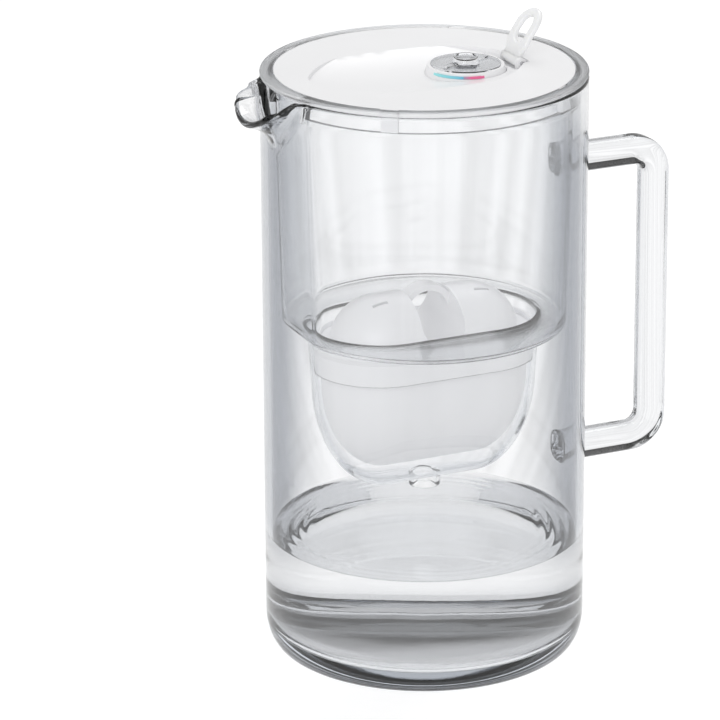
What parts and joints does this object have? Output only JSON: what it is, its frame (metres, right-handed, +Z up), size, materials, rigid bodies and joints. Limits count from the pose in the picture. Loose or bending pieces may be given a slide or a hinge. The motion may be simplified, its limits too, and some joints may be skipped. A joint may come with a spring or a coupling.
{
  "type": "water filter pitcher",
  "caption": "Glass water filter pitcher with a clear hopper, drop-in filter cartridge, lift-off white lid, folding pull ring and turning change dial.",
  "frame": {"origin": "centre of the glass foot's underside, on the table", "axes": "+Z up, +X towards the handle, -X towards the spout; y = 0 is the mirror plane"},
  "size_m": [0.2013, 0.14, 0.2804],
  "materials": {
    "clear_glass": "clear, fire-polished",
    "clear_plastic": "clear moulded plastic",
    "white_plastic": "satin gloss white",
    "frosted_plastic": "milky translucent",
    "blue_ink": "gloss",
    "red_ink": "gloss",
    "steel": "stainless",
    "soft_seal": "soft white",
    "fleece": "non-woven",
    "granules": "loose carbon and resin grains"
  },
  "bodies": {
    "jug": {"glass_jug": "clear_glass", "handle": "clear_glass"},
    "hopper": {"hopper": "clear_plastic"},
    "cartridge": {"cartridge_cup": "white_plastic", "cartridge_cover": "white_plastic", "cartridge_seal": "soft_seal", "inlet_screen": "white_plastic", "upper_fleece": "fleece", "filter_granules": "granules", "lower_fleece": "fleece", "outlet_screen": "white_plastic"},
    "lid": {"lid": "white_plastic", "dial_bezel": "white_plastic", "fresh_arc": "blue_ink", "change_arc": "red_ink", "dial_washer": "steel", "ring_pin": "steel"},
    "dial": {"dial_knob": "clear_plastic", "dial_retainer": "white_plastic"},
    "ring": {"pull_ring": "frosted_plastic"}
  },
  "joints": [
    {"name": "hopper_lift", "type": "slide", "parent": "jug", "child": "hopper", "axis": [0, 0, 1], "range_m": [0, 0.2]},
    {"name": "lid_lift", "type": "slide", "parent": "hopper", "child": "lid", "axis": [0, 0, 1], "range_m": [0, 0.05]},
    {"name": "cartridge_lift", "type": "slide", "parent": "hopper", "child": "cartridge", "axis": [0, 0, 1], "range_m": [0, 0.075]},
    {"name": "ring_fold", "type": "hinge", "parent": "lid", "child": "ring", "pos_m": [0.0415, 0, 0.2594], "axis": [0, 1, 0], "range_deg": [-78, 32]},
    {"name": "dial_turn", "type": "hinge", "parent": "lid", "child": "dial", "pos_m": [0.0195, 0, 0.26], "axis": [0, 0, 1], "continuous": true}
  ]
}
